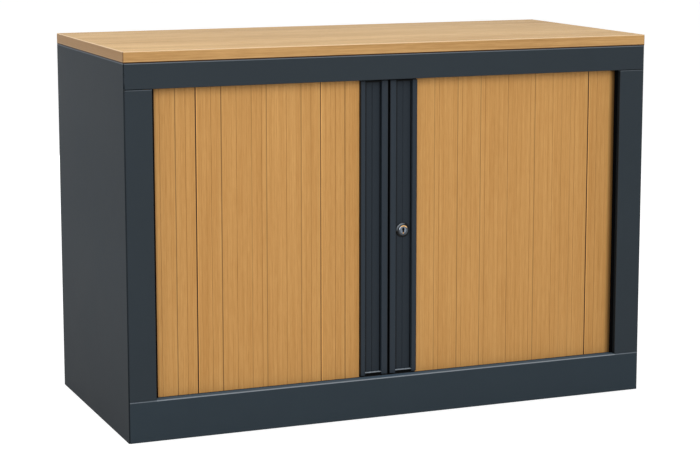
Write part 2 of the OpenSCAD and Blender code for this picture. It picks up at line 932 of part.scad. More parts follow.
// Profile of a leading bar, from its meeting edge: a fin, the finger pull and
// the fin that holds the first lath's bead.
module bar_profile() {
    socket = [bar_w - bead_reach, path_y - bar_front];
    difference() {
        union() {
            fin_profile(inner_fin_w);
            translate([bar_w - outer_fin_w, 0])
                fin_profile(outer_fin_w);
            translate([inner_fin_w - bar_wall / 2, pull_depth])
                square([pull_w + bar_wall, pull_floor_t]);
            translate([bar_w - bead_reach - 2 * bead_r, socket.y - 2 * bead_r])
                square([bead_reach + 2 * bead_r - fin_r / 2, 4 * bead_r]);
        }
        translate(socket)
            circle(socket_r);
        translate([socket.x, socket.y - neck_t / 2 - bead_clear])
            square([bead_reach + cut, neck_t + 2 * bead_clear]);
        translate([pull_mid, pull_depth])
            circle(pull_groove_r);
        for (edge = [inner_fin_w, inner_fin_w + pull_w - pull_edge_w])
            translate([edge, pull_depth - cut])
                square([pull_edge_w, cut + pull_edge_d]);
    }
}

// Leading bar, drawn from its own meeting edge.
module bar_on_side(side) {
    on_side(side)
        translate([bar_inner_x[side], bar_front, bar_bottom])
            linear_extrude(bar_top - bar_bottom)
                bar_profile();
}

// Left leading bar.
module left_bar() {
    color(steel)
        bar_on_side(0);
}

// Right leading bar, bored for the lock.
module right_bar() {
    color(steel)
        difference() {
            bar_on_side(1);
            translate([lock_x, pull_floor_y - cut, lock_z])
                rotate([-90, 0, 0])
                    cylinder(h = pull_floor_t + 2 * cut, r = barrel_r + lock_clear);
        }
}

// End cap, drawn at a bar's lower end: a tongue in the track, a ledge across
// the finger pull and a wall on each side of the bar's floor.
module end_cap(low, ledge_rise) {
    tongue_front = path_y - lath_t / 2 - bar_front;
    pull = [inner_fin_w + cap_clear, inner_fin_w + pull_w - cap_clear];
    ledge_top = bar_bottom + ledge_rise + cap_t;
    tongue_end = bar_w - bead_reach - bead_r - glide_clear;
    block([tongue_inset, tongue_front, low], [tongue_end, tongue_front + lath_t, bar_bottom]);
    block([pull[0], pull_depth - cap_t, bar_bottom - cut], [pull[1], pull_depth, ledge_top]);
    block([pull[0], fin_r, ledge_top - cap_t], [pull[1], pull_depth, ledge_top]);
    block(
        [pull[0], pull_depth + pull_floor_t, bar_bottom - cut],
        [pull[1], pull_depth + pull_floor_t + cap_t, bar_bottom + cap_rear_h]
    );
}

// The two end caps of a bar. The upper one is turned over, and its ledge lies
// level with the bar's end.
module bar_caps(side) {
    ends = bar_bottom + bar_top;
    color(dark_plastic)
        on_side(side)
            translate([bar_inner_x[side], bar_front, 0]) {
                end_cap(lath_bottom, cap_ledge_rise);
                translate([0, 0, ends])
                    mirror([0, 0, 1])
                        end_cap(ends - lath_top, 0);
            }
}

// Shouldered pin on the left bar that the hook drops over.
module keeper_pin() {
    color(zinc)
        translate([pin_x, bar_back, lock_z])
            rotate([-90, 0, 0]) {
                cylinder(h = pin_head_t, r = pin_head_r);
                cylinder(h = hook_back + pin_clear - bar_back, r = pin_r);
                translate([0, 0, hook_back + pin_clear - bar_back])
                    cylinder(h = pin_head_t, r = pin_head_r);
            }
}

// Dark collar under the lock's bezel.
module lock_collar() {
    color(dark_plastic)
        translate([lock_x, pull_floor_y, lock_z])
            rotate([90, 0, 0])
                difference() {
                    rotate_extrude()
                        polygon([
                            [0, 0], [collar_r, 0], [collar_r, collar_t - collar_bevel],
                            [collar_r - collar_bevel, collar_t], [0, collar_t]
                        ]);
                    translate([0, 0, -cut])
                        cylinder(h = collar_t + 2 * cut, r = barrel_r + lock_clear);
                }
}

// Bezel and barrel of the lock, bored for the plug.
module lock_body() {
    color(bright)
        translate([lock_x, collar_front, lock_z])
            rotate([90, 0, 0])
                difference() {
                    union() {
                        rotate_extrude()
                            polygon([
                                [0, 0], [bezel_r, 0], [bezel_r, bezel_t - bezel_bevel],
                                [bezel_r - bezel_bevel, bezel_t], [0, bezel_t]
                            ]);
                        translate([0, 0, collar_front - barrel_end])
                            cylinder(h = barrel_end - collar_front, r = barrel_r);
                    }
                    translate([0, 0, collar_front - barrel_end - cut])
                        cylinder(h = barrel_end - bezel_front + 2 * cut, r = plug_r + lock_clear);
                }
}

// Nut behind the finger pull's floor.
module lock_nut() {
    color(zinc)
        translate([lock_x, pull_floor_back, lock_z])
            rotate([-90, 0, 0])
                difference() {
                    cylinder(h = lock_nut_t, r = lock_nut_af / sqrt(3), $fn = 6);
                    translate([0, 0, -cut])
                        cylinder(h = lock_nut_t + 2 * cut, r = barrel_r + lock_clear);
                }
}

// Turning plug with its keyway and a square tail for the hook.
module lock_plug() {
    front = bezel_front + plug_setback;
    color(bright)
        translate([lock_x, front, lock_z])
            rotate([-90, 0, 0])
                difference() {
                    union() {
                        cylinder(h = hook_front - front, r = plug_r);
                        translate([-tail_square / 2, -tail_square / 2, 0])
                            cube([tail_square, tail_square, hook_back + tail_end - front]);
                    }
                    translate([-keyway_w / 2, -keyway_h / 2, -cut])
                        cube([keyway_w, keyway_h, keyway_depth + cut]);
                }
}

// Hook on the plug's tail. It stands up when the lock is open, and a quarter
// turn brings its slot down over the keeper pin.
module lock_hook() {
    color(zinc)
        translate([lock_x, hook_front, lock_z])
            rotate([-90, 0, 0])
                linear_extrude(hook_t)
                    rotate([0, 0, -90])
                        difference() {
                            union() {
                                circle(hook_hub_r);
                                translate([0, -hook_w / 2])
                                    square([hook_reach - hook_nose / 2, hook_w]);
                                translate([hook_reach - hook_w / 2, 0])
                                    circle(hook_w / 2);
                            }
                            square(tail_square + 2 * lock_clear, center = true);
                            intersection() {
                                difference() {
                                    circle(pin_reach + slot_half, $fn = 96);
                                    circle(pin_reach - slot_half, $fn = 96);
                                }
                                translate([0, -2 * hook_reach])
                                    square(2 * hook_reach);
                            }
                            translate([pin_reach, 0])
                                circle(slot_half);
                        }
}

top_panel();
roof_pan();
ceiling_tray();
side_panel(0);  // left_side_panel
side_panel(1);  // right_side_panel
post(0);  // left_post
post(1);  // right_post
top_rail();
plinth();
base_pan();
floor_tray();
back_panel();
lining(0);  // left_lining
lining(1);  // right_lining
shelf();
shelf_clips();
track(0, opening_top, false);  // left_top_track
track(1, opening_top, false);  // right_top_track
track(0, base_top, true);  // left_bottom_track
track(1, base_top, true);  // right_bottom_track
track_stops();
top_screws();
foot_brackets();
access_caps();
levelling_foot(foot_spots[0]);  // foot_front_left
levelling_foot(foot_spots[1]);  // foot_front_right
levelling_foot(foot_spots[2]);  // foot_rear_left
levelling_foot(foot_spots[3]);  // foot_rear_right
left_bar();
bar_caps(0);  // left_bar_caps
keeper_pin();
right_bar();
bar_caps(1);  // right_bar_caps
lock_collar();
lock_body();
lock_nut();
lock_plug();
lock_hook();
for (i = [1:laths[0]])
    lath(0, i);
for (i = [1:laths[1]])
    lath(1, i);
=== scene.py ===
"""Looks of the tambour cupboard: oak film, powder-coated steel, leading bars and lock.

The packed model is the fixed frame. Each operator below finishes one piece or one
group of like pieces, and the stage has an operator of its own. Lengths are in metres.
"""

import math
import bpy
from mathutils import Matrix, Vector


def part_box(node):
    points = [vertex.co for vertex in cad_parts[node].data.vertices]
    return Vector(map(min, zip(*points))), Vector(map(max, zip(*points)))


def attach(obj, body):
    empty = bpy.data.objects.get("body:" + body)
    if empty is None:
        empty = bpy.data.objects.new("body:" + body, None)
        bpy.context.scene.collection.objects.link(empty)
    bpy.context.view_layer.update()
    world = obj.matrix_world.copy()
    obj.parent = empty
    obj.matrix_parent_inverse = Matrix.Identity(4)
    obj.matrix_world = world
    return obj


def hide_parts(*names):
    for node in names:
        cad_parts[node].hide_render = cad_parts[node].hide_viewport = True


bl_info = {
    "name": "Tambour Cupboard Looks",
    "version": (1, 0, 0),
    "blender": (4, 5, 0),
    "location": "3D View > Sidebar > Cupboard",
    "description": "Finishes the parts of a tambour cupboard and sets its studio",
    "category": "3D View",
}

import bmesh
import bpy
from bpy.props import FloatProperty, FloatVectorProperty, PointerProperty
from bpy.types import Operator, Panel, PropertyGroup
from mathutils import Vector

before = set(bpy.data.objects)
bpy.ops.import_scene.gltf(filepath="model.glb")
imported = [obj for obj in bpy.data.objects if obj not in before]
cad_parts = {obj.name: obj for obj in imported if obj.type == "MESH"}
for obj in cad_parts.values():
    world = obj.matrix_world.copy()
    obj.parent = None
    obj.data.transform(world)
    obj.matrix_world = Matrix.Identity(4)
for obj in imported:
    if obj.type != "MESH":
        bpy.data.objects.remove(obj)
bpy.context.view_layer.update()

SIDES = ("left", "right")
# The usual width of the soft step at the edge of a mask
SHARP = 0.0004


def srgb(red, green, blue):
    """A colour written in 0 to 255, as the linear red, green and blue that shaders take."""
    values = [v / 255 for v in (red, green, blue)]
    return tuple(v / 12.92 if v <= 0.04045 else ((v + 0.055) / 1.055) ** 2.4 for v in values)


# Settings

class CupboardWood(PropertyGroup):
    """Colours and gloss of the oak film."""

    light: FloatVectorProperty(
        name="Light Wood", description="Pale tone between the curtain's grain lines",
        subtype="COLOR", size=3, min=0, max=1, default=srgb(211, 161, 96))
    dark: FloatVectorProperty(
        name="Dark Wood", description="Tone of the curtain's grain lines",
        subtype="COLOR", size=3, min=0, max=1, default=srgb(181, 129, 67))
    # This tone also paints the shade line where the top's edging meets the body.
    joint: FloatVectorProperty(
        name="Joint", description="Tone of the joints between boards",
        subtype="COLOR", size=3, min=0, max=1, default=srgb(48, 23, 7))
    top_light: FloatVectorProperty(
        name="Light Top", description="Pale tone between the top's grain lines",
        subtype="COLOR", size=3, min=0, max=1, default=srgb(223, 181, 115))
    top_dark: FloatVectorProperty(
        name="Dark Top", description="Tone of the top's grain lines",
        subtype="COLOR", size=3, min=0, max=1, default=srgb(183, 140, 80))
    edge_light: FloatVectorProperty(
        name="Light Edging", description="Pale tone of the top's edging strip",
        subtype="COLOR", size=3, min=0, max=1, default=srgb(207, 163, 107))
    edge_dark: FloatVectorProperty(
        name="Dark Edging", description="Tone of the grain lines in the edging strip",
        subtype="COLOR", size=3, min=0, max=1, default=srgb(170, 128, 77))
    # Painted shade: the two end tones are darker, greyer copies of the edging's, standing in for
    # the lesser light on the top's ends.
    end_light_shaded: FloatVectorProperty(
        name="Light End", description="Pale tone of the edging at the top's two ends",
        subtype="COLOR", size=3, min=0, max=1, default=srgb(170, 133, 88))
    end_dark_shaded: FloatVectorProperty(
        name="Dark End", description="Tone of the grain lines at the top's two ends",
        subtype="COLOR", size=3, min=0, max=1, default=srgb(153, 116, 74))
    # Painted highlight: this pale tone stands in for the light caught by the edging's rounded
    # upper edge.
    arris_highlight: FloatVectorProperty(
        name="Arris", description="Tone of the edging's sanded upper edge",
        subtype="COLOR", size=3, min=0, max=1, default=srgb(236, 206, 166))
    roughness: FloatProperty(
        name="Film Roughness", description="Gloss of the film, 1 is dull",
        subtype="FACTOR", min=0, max=1, default=0.5)


class CupboardSteel(PropertyGroup):
    """Colours and texture of the powder coat."""

    front: FloatVectorProperty(
        name="Front Coat", description="Powder coat of the frame and the inside",
        subtype="COLOR", size=3, min=0, max=1, default=srgb(43, 51, 57))
    bar: FloatVectorProperty(
        name="Bar Coat", description="Powder coat of the leading bars",
        subtype="COLOR", size=3, min=0, max=1, default=srgb(43, 51, 59))
    # Painted light: the side panels' coat is a lighter, greyer copy of the front's, standing in
    # for the light and sheen that the sides catch.
    side: FloatVectorProperty(
        name="Side Coat", description="Powder coat of the side panels",
        subtype="COLOR", size=3, min=0, max=1, default=srgb(52, 58, 63))
    # Painted highlight: this pale tone stands in for the light caught by the folds that face up.
    edge: FloatVectorProperty(
        name="Polished Edge", description="Tone of the coat on the folds that face up",
        subtype="COLOR", size=3, min=0, max=1, default=srgb(132, 140, 148))
    # Painted shade: this dark tone stands in for the shade in seams and grooves.
    seam: FloatVectorProperty(
        name="Seam", description="Tone of the coat in the seams and grooves",
        subtype="COLOR", size=3, min=0, max=1, default=srgb(12, 15, 18))
    roughness: FloatProperty(
        name="Coat Roughness", description="Gloss of the powder coat, 1 is dull",
        subtype="FACTOR", min=0, max=1, default=0.42)
    peel: FloatProperty(
        name="Orange Peel", description="Height of the coat's fine ripples",
        subtype="DISTANCE", unit="LENGTH", min=0, max=0.0005, default=0.00004)


class CupboardTop(PropertyGroup):
    """Sizes of the wooden top's edging."""

    edging: FloatProperty(
        name="Edging Thickness", description="Thickness of the strip glued round the board",
        subtype="DISTANCE", unit="LENGTH", min=0.0004, max=0.003, default=0.002)
    rounding: FloatProperty(
        name="Edge Rounding", description="Radius of the strip's upper and lower edges",
        subtype="DISTANCE", unit="LENGTH", min=0.0002, max=0.003, default=0.0012)
    corner: FloatProperty(
        name="Corner Rounding", description="Radius of the board's upright corners",
        subtype="DISTANCE", unit="LENGTH", min=0.0005, max=0.006, default=0.0015)


class CupboardFittings(PropertyGroup):
    """Sizes of the small fittings."""

    seal_radius: FloatProperty(
        name="Seal Radius", description="Radius of the buffer between the leading bars",
        subtype="DISTANCE", unit="LENGTH", min=0.0008, max=0.0016, default=0.0015)
    rivet_radius: FloatProperty(
        name="Rivet Radius", description="Radius of a rivet's head on the back panel",
        subtype="DISTANCE", unit="LENGTH", min=0.002, max=0.005, default=0.0032)
    rivet_height: FloatProperty(
        name="Rivet Height", description="Height of a rivet's head on the back panel",
        subtype="DISTANCE", unit="LENGTH", min=0.0004, max=0.001, default=0.0009)
    lip_reach: FloatProperty(
        name="Lip Reach", description="Distance that the posts' trims stand into the doorway",
        subtype="DISTANCE", unit="LENGTH", min=0.002, max=0.008, default=0.0056)
    lip_thickness: FloatProperty(
        name="Lip Thickness", description="Thickness of the posts' trims",
        subtype="DISTANCE", unit="LENGTH", min=0.0008, max=0.0022, default=0.0016)


class CupboardStage(PropertyGroup):
    """Levels of the studio."""

    key_power: FloatProperty(
        name="Key Light", description="Power of the large light before the front",
        subtype="POWER", unit="POWER", min=0, max=1000, default=90)
    top_power: FloatProperty(
        name="Top Light", description="Power of the light over the cupboard",
        subtype="POWER", unit="POWER", min=0, max=1000, default=36)
    fill_power: FloatProperty(
        name="Fill Lights", description="Power of each light at the sides and behind",
        subtype="POWER", unit="POWER", min=0, max=1000, default=17)
    sky: FloatProperty(
        name="Room Light", description="Level of the even light from all round",
        min=0, max=2, default=0.55)
    glow: FloatProperty(
        name="Floor Glow", description="Level that the eye sees the floor at, without its light",
        min=0, max=1, default=0.7)
    floor: FloatVectorProperty(
        name="Floor", description="Colour of the pale floor",
        subtype="COLOR", size=3, min=0, max=1, default=srgb(196, 196, 196))


# Nodes

def put(tree, kind, links=None, **settings):
    """Adds a node, sets it, and gives each input a value or a link from a socket."""
    node = tree.nodes.new(kind)
    for name, value in settings.items():
        setattr(node, name, value)
    for key, value in (links or {}).items():
        if isinstance(value, bpy.types.NodeSocket):
            tree.links.new(value, node.inputs[key])
        else:
            node.inputs[key].default_value = value
    node.location = (180 * (len(tree.nodes) % 12), -220 * (len(tree.nodes) // 12))
    return node


def calc(tree, operation, first, second=0.0, clamp=False):
    """One step of arithmetic on two values or sockets."""
    return put(tree, "ShaderNodeMath", {0: first, 1: second},
               operation=operation, use_clamp=clamp).outputs[0]


def times(tree, first, second):
    """Product of two values or sockets."""
    return calc(tree, "MULTIPLY", first, second)


def inverse(tree, mask):
    """1 where a mask is 0, and 0 where it is 1."""
    return calc(tree, "SUBTRACT", 1.0, mask)


def swing(tree, value, width):
    """A value from 0 to 1 turned into one that swings about 0, over a width."""
    return times(tree, calc(tree, "SUBTRACT", value, 0.5), width)


def above(tree, value, level, soft=SHARP):
    """1 where a value is over a level and 0 under it, with a soft step."""
    return calc(tree, "DIVIDE", calc(tree, "SUBTRACT", value, level - soft / 2), soft, clamp=True)


def below(tree, value, level, soft=SHARP):
    """1 where a value is under a level and 0 over it, with a soft step."""
    return inverse(tree, above(tree, value, level, soft))


def band(tree, value, low, high, soft=SHARP):
    """1 where a value lies between two levels, with soft steps."""
    return times(tree, above(tree, value, low, soft), below(tree, value, high, soft))


def along(tree, place, axis):
    """One coordinate of a place, 0 for X, 1 for Y and 2 for Z."""
    return put(tree, "ShaderNodeSeparateXYZ", {0: place}).outputs[axis]


def aside(tree, place, axis):
    """Distance of a place from the middle plane across an axis."""
    return calc(tree, "ABSOLUTE", along(tree, place, axis))


def scaled(tree, vector, factor):
    """A vector or colour times a factor, each a value or a socket."""
    return put(tree, "ShaderNodeVectorMath", {0: vector, 1: factor},
               operation="MULTIPLY").outputs[0]


def shade(tree, mask, colour, factor):
    """Darkens or brightens a colour by a factor where the mask is 1."""
    return scaled(tree, colour, calc(tree, "ADD", 1.0, times(tree, mask, factor - 1.0)))


def blend(tree, mask, first, second, strength=None):
    """Mixes two colours, each a value or a socket, where the mask is 1 by up to a strength."""
    if strength is not None:
        mask = times(tree, mask, strength)
    tint = {0: mask}
    for key, value in ((6, first), (7, second)):
        tint[key] = value if isinstance(value, bpy.types.NodeSocket) else (*value, 1)
    return put(tree, "ShaderNodeMix", tint, data_type="RGBA").outputs[2]


def noise(tree, vector, stretch, scale, detail, roughness, distortion=0.0):
    """Noise on coordinates whose Z is stretched first, from 0 to 1."""
    return put(tree, "ShaderNodeTexNoise", {
        "Vector": scaled(tree, vector, (1, 1, stretch)), "Scale": scale, "Detail": detail,
        "Roughness": roughness, "Distortion": distortion,
    }).outputs["Fac"]


def new_group(name, takes):
    """A node group that gives a colour, a change of roughness and a height.

    takes is the label, kind and default of each input after the Vector. Returns the
    tree, its inputs' sockets and a function that links the three results.
    """
    tree = bpy.data.node_groups.new(name, "ShaderNodeTree")
    tree.interface.new_socket("Vector", in_out="INPUT", socket_type="NodeSocketVector")
    for label, kind, value in takes:
        socket = tree.interface.new_socket(label, in_out="INPUT", socket_type="NodeSocket" + kind)
        socket.default_value = value
    gives = {"Color": "Color", "Gloss": "Float", "Height": "Float"}
    for label, kind in gives.items():
        tree.interface.new_socket(label, in_out="OUTPUT", socket_type="NodeSocket" + kind)
    end = tree.nodes.new("NodeGroupOutput").inputs

    def give(*results):
        for label, socket in zip(gives, results):
            tree.links.new(socket, end[label])

    return tree, tree.nodes.new("NodeGroupInput").outputs, give


def oak_group():
    """Oak film whose grain runs along Z."""
    tree, given, give = new_group("Oak Grain", [
        ("Light", "Color", (1, 1, 1, 1)), ("Dark", "Color", (0, 0, 0, 1)),
        ("Figure", "Float", 1.0), ("Pores", "Float", 1.0)])
    vector = given["Vector"]
    boards = noise(tree, vector, 0.02, 26, 2, 0.5)
    streaks = noise(tree, vector, 0.018, 190, 4, 0.62, 0.2)
    fine = noise(tree, vector, 0.05, 520, 3, 0.65)
    clouds = noise(tree, vector, 0.25, 9, 3, 0.55, 0.6)
    pores = noise(tree, vector, 0.035, 1500, 1, 0.5)
    total = 0.0
    for part, weight in ((boards, 0.4), (streaks, 1.05), (fine, 1.0), (clouds, 0.45)):
        total = calc(tree, "ADD", total, swing(tree, part, weight))
    tone = calc(tree, "ADD", times(tree, total, given["Figure"]), 0.5, clamp=True)
    pore = calc(tree, "MULTIPLY", calc(tree, "SUBTRACT", pores, 0.6), 6.0, clamp=True)
    pore = calc(tree, "MULTIPLY", pore, given["Pores"], clamp=True)
    colour = blend(tree, tone, given["Dark"], given["Light"])
    give(blend(tree, pore, colour, given["Dark"], 0.35),
         calc(tree, "ADD", times(tree, tone, -0.08), times(tree, pore, 0.2)),
         calc(tree, "SUBTRACT", times(tree, tone, 0.4), pore))
    return tree


def coat_group():
    """Powder coat: a mottled colour, its gloss and the ripple called orange peel."""
    tree, given, give = new_group("Powder Coat", [
        ("Color", "Color", (0.1, 0.1, 0.1, 1)), ("Mottle", "Float", 0.1)])
    vector = given["Vector"]
    broad = noise(tree, vector, 1, 7, 3, 0.6, 0.4)
    close = noise(tree, vector, 1, 45, 2, 0.5)
    speck = noise(tree, vector, 1, 2400, 1, 0.5)
    ripple = noise(tree, vector, 1, 850, 2, 0.55)
    shift = calc(tree, "ADD", swing(tree, broad, 2.2), swing(tree, close, 0.8))
    shift = calc(tree, "ADD", shift, swing(tree, speck, 1.2))
    level = calc(tree, "ADD", times(tree, shift, given["Mottle"]), 1.0)
    give(scaled(tree, given["Color"], level), swing(tree, broad, 0.12), ripple)
    return tree


def brushed_group():
    """Fine scratches along Z, for plated and bare metal."""
    tree, given, give = new_group("Brushed Metal", [("Color", "Color", (0.6, 0.6, 0.6, 1))])
    vector = given["Vector"]
    scratch = noise(tree, vector, 0.05, 2600, 3, 0.6)
    spangle = noise(tree, vector, 1, 180, 2, 0.5)
    level = calc(tree, "ADD", 0.86, times(tree, spangle, 0.28))
    give(scaled(tree, given["Color"], level), swing(tree, scratch, 0.3), scratch)
    return tree


def group_named(name, maker):
    """The node group of that name, made on first use."""
    return bpy.data.node_groups.get(name) or maker()


def finish(name, group, colours, roughness, metallic=0.0, specular=0.5, depth=0.0,
           turn=(0, 0, 0), tint=None):
    """A material: one effect group on Object coordinates into a Principled shader.

    colours are the group's inputs, turn is a rotation of the pattern in degrees, and tint
    is a function that changes the group's colour by place.
    """
    material = bpy.data.materials.new(name)
    material.use_nodes = True
    tree = material.node_tree
    tree.nodes.clear()
    place = put(tree, "ShaderNodeTexCoord").outputs["Object"]
    inputs = {"Vector": place}
    if any(turn):
        turned = put(tree, "ShaderNodeMapping", {
            "Vector": place, "Rotation": [math.radians(angle) for angle in turn]})
        inputs["Vector"] = turned.outputs[0]
    for label, value in colours.items():
        inputs[label] = value if isinstance(value, float) else (*value, 1)
    effect = put(tree, "ShaderNodeGroup", inputs, node_tree=group).outputs
    colour = effect["Color"]
    if tint:
        colour = tint(tree, place, colour)
    shader = put(tree, "ShaderNodeBsdfPrincipled", {
        "Base Color": colour, "Metallic": metallic, "Specular IOR Level": specular,
        "Roughness": calc(tree, "ADD", effect["Gloss"], roughness, clamp=True)})
    if depth:
        bump = put(tree, "ShaderNodeBump", {
            "Height": effect["Height"], "Distance": depth, "Strength": 1.0})
        tree.links.new(bump.outputs[0], shader.inputs["Normal"])
    end = put(tree, "ShaderNodeOutputMaterial")
    tree.links.new(shader.outputs[0], end.inputs["Surface"])
    return material


def lighter(colour, factor):
    """A colour made lighter by a factor, as plain numbers."""
    return tuple(value * factor for value in colour)


# Pieces

def coat_nodes(names, material):
    """Gives CAD nodes a finish through their objects' material slots."""
    for name in names:
        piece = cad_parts[name]
        if not piece.material_slots:
            piece.data.materials.append(material)
        for slot in piece.material_slots:
            slot.material = material


def new_piece(name, mesh, body, materials):
    """Makes an object from a bmesh in the row frame and lets it ride on a body."""
    data = bpy.data.meshes.new(name)
    mesh.to_mesh(data)
    mesh.free()
    for material in materials:
        data.materials.append(material)
    piece = bpy.data.objects.new(name, data)
    bpy.context.scene.collection.objects.link(piece)
    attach(piece, body)
    return piece


def upright_edges(mesh):
    """Edges that run along Z."""
    return [e for e in mesh.edges
            if (e.verts[0].co - e.verts[1].co).normalized().dot(Vector((0, 0, 1))) ** 2 > 0.99]


def block(mesh, low, high):
    """Adds a block between two corners, and returns its vertices."""
    made = bmesh.ops.create_cube(mesh, size=1)["verts"]
    bmesh.ops.scale(mesh, vec=high - low, verts=made)
    bmesh.ops.translate(mesh, vec=(low + high) / 2, verts=made)
    return made


def round_off(mesh, edges, radius, segments):
    """Rounds edges to a radius."""
    bmesh.ops.bevel(mesh, geom=edges, offset=radius, offset_type="OFFSET", segments=segments,
                    profile=0.5, affect="EDGES", material=-1)


# Area of a face over which it is shaded flat
FLAT_AREA = 0.002
# Least width of the strip's upper face that shows
LEAST_STRIP = 0.0002


def board(low, high, corner, rounding, edging):
    """A rounded board: its film is material 0, its edging 1 and the edging at its ends 2."""
    mesh = bmesh.new()
    block(mesh, low, high)
    round_off(mesh, upright_edges(mesh), corner, 4)
    flat = [f for f in mesh.faces if abs(f.normal.z) > 0.9]
    rims = {e for f in flat for e in f.edges}
    for face in mesh.faces:
        face.material_index = 1
    round_off(mesh, list(rims), rounding, 4)
    flat = [f for f in mesh.faces if abs(f.normal.z) > 0.999 and len(f.verts) > 8]
    bmesh.ops.inset_region(mesh, faces=flat, thickness=max(edging - rounding, LEAST_STRIP))
    for face in flat:
        face.material_index = 0
    for face in mesh.faces:
        face.smooth = abs(face.normal.z) < 0.999 and face.calc_area() < FLAT_AREA
        if abs(face.normal.x) > 0.75:
            face.material_index = 2
    return mesh


def film_values(light, dark, figure=1.0, pores=1.0):
    """Inputs of the oak group."""
    return {"Light": light[:], "Dark": dark[:], "Figure": figure, "Pores": pores}


# Height over the board's underside of the painted shade line where it meets the body
TOP_SHADE_LINE = 0.0021
# Heights over the underside between which the strip's lower edge is faintly lit
TOP_LOWER_EDGE = (0.0024, 0.0038)
# Reach along X and along Y of the dark line down the strip's corners, and its softness
TOP_CORNER = (0.0011, 0.0016, 0.0003)
# Width of the unlit strip along the board's back, in parts of the edging's thickness
BACK_EDGE = 1.2
# Painted shade: parts of the film's tone that are left at the board's back and at its right, where
# less light falls
FILM_FALLOFF = (0.84, 0.92)


class CUPBOARD_OT_wooden_top(Operator):
    """Replaces the plain top with a board that has an edging strip"""

    bl_idname = "cupboard.wooden_top"
    bl_label = "Wooden Top"

    def execute(self, context):
        wood = context.scene.cupboard_wood
        sizes = context.scene.cupboard_top
        grain = group_named("Oak Grain", oak_group)
        low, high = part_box("top_panel")

        # Painted highlight on the edging's upper edge and faintly on its lower edge, and painted
        # shade along the board's underside where it meets the body.
        def arris_light_and_shade(tree, place, colour):
            height = along(tree, place, 2)
            upper = above(tree, height, high.z - sizes.rounding)
            upper = times(tree, upper, below(
                tree, along(tree, place, 1), high.y - sizes.edging * BACK_EDGE))
            lower = band(tree, height, low.z + TOP_LOWER_EDGE[0], low.z + TOP_LOWER_EDGE[1])
            joint = below(tree, height, low.z + TOP_SHADE_LINE)
            reach_x, reach_y, soft = TOP_CORNER
            corner = times(tree, above(tree, aside(tree, place, 0), high.x - reach_x, soft),
                           above(tree, aside(tree, place, 1), high.y - reach_y, soft))
            joint = calc(tree, "MAXIMUM", joint, times(tree, corner, 0.6))
            colour = blend(tree, upper, colour, wood.arris_highlight[:], 0.9)
            colour = blend(tree, lower, colour, wood.arris_highlight[:], 0.08)
            return blend(tree, joint, colour, wood.joint[:], 0.95)

        def painted_falloff(tree, place, colour):
            right = above(tree, along(tree, place, 0), 0.0, high.x - low.x)
            back = above(tree, along(tree, place, 1), 0.0, high.y - low.y)
            return shade(tree, right, shade(tree, back, colour, FILM_FALLOFF[0]), FILM_FALLOFF[1])

        film = finish("oak_top_film", grain, film_values(wood.top_light, wood.top_dark, 1.8),
                      wood.roughness, specular=0.18, depth=0.00006, turn=(0, 90, 0), tint=painted_falloff)
        edge = finish("oak_top_edging", grain,
                      film_values(wood.edge_light, wood.edge_dark, 1.3, 0.6),
                      wood.roughness, specular=0.08, depth=0.00003, turn=(0, 90, 0), tint=arris_light_and_shade)
        # The ends' edging takes the darker tones of painted shade.
        end = finish("oak_end_edging", grain,
                     film_values(wood.end_light_shaded, wood.end_dark_shaded, 0.8, 0.5),
                     wood.roughness, specular=0.08, depth=0.00003, turn=(90, 0, 0), tint=arris_light_and_shade)
        mesh = board(low, high, sizes.corner, sizes.rounding, sizes.edging)
        top = new_piece("wood_top", mesh, "carcass", [film, edge, end])
        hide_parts("top_panel")
        return {"FINISHED"}


# Distance from rib to rib on a lath
RIB_PITCH = 0.0092
# Ribs, counted from the leading bar, whose grooves read as joints, and how dark each is
JOINTS = {
    "left": {3: 0.5, 8: 0.78, 12: 0.38, 19: 0.4, 22: 0.2, 28: 0.6, 33: 1.0, 37: 0.5},
    "right": {4: 0.28, 9: 0.38, 14: 0.36, 20: 0.15, 26: 0.36, 32: 0.12, 34: 0.15, 38: 1.0},
}
# Half width of a faint joint, what full darkness adds to it, and the softness of its edges
JOINT_LINE = (0.0006, 0.0005, 0.0005)
# A joint darker than the first number has a lit edge: its distance, half width and softness
LIT_EDGE = (0.7, 0.0006, 0.0007, 0.0006)
# Reach and softness of the dark strip where the first lath goes into its leading bar
BAR_SHADOW = (0.0003, 0.0005)
# Middle, before the post, and width of the strip of painted shade where each curtain meets its
# post
POST_SHADE = (0.0085, 0.009)


def joint_lines(side, tone):
    """The tint of one curtain: joints, their lit edges, and the shade at bar and post."""
    bar_low, bar_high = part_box(side + "_bar")
    start, towards = (-bar_low.x, -1) if side == "left" else (bar_high.x, 1)
    post_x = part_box("right_post")[0].x
    least, spread, soft = JOINT_LINE
    dark, gap, lit_half, lit_soft = LIT_EDGE

    def tint(tree, place, colour):
        across = aside(tree, place, 0)
        mask = 0.0
        lit = 0.0
        for rib, strength in JOINTS[side].items():
            middle = start + rib * RIB_PITCH
            half = least + spread * strength
            line = band(tree, across, middle - half, middle + half, soft)
            mask = calc(tree, "MAXIMUM", mask, times(tree, line, strength))
            if strength > dark:
                edge = middle + towards * (half + gap)
                line = band(tree, across, edge - lit_half, edge + lit_half, lit_soft)
                lit = calc(tree, "MAXIMUM", lit, line)
        hidden = below(tree, across, start + BAR_SHADOW[0], BAR_SHADOW[1])
        colour = blend(tree, hidden, colour, srgb(10, 9, 8))
        post_shade = above(tree, across, post_x - POST_SHADE[0], POST_SHADE[1])
        colour = shade(tree, lit, shade(tree, post_shade, colour, 0.4), 1.5)
        return blend(tree, mask, colour, tone)

    return tint


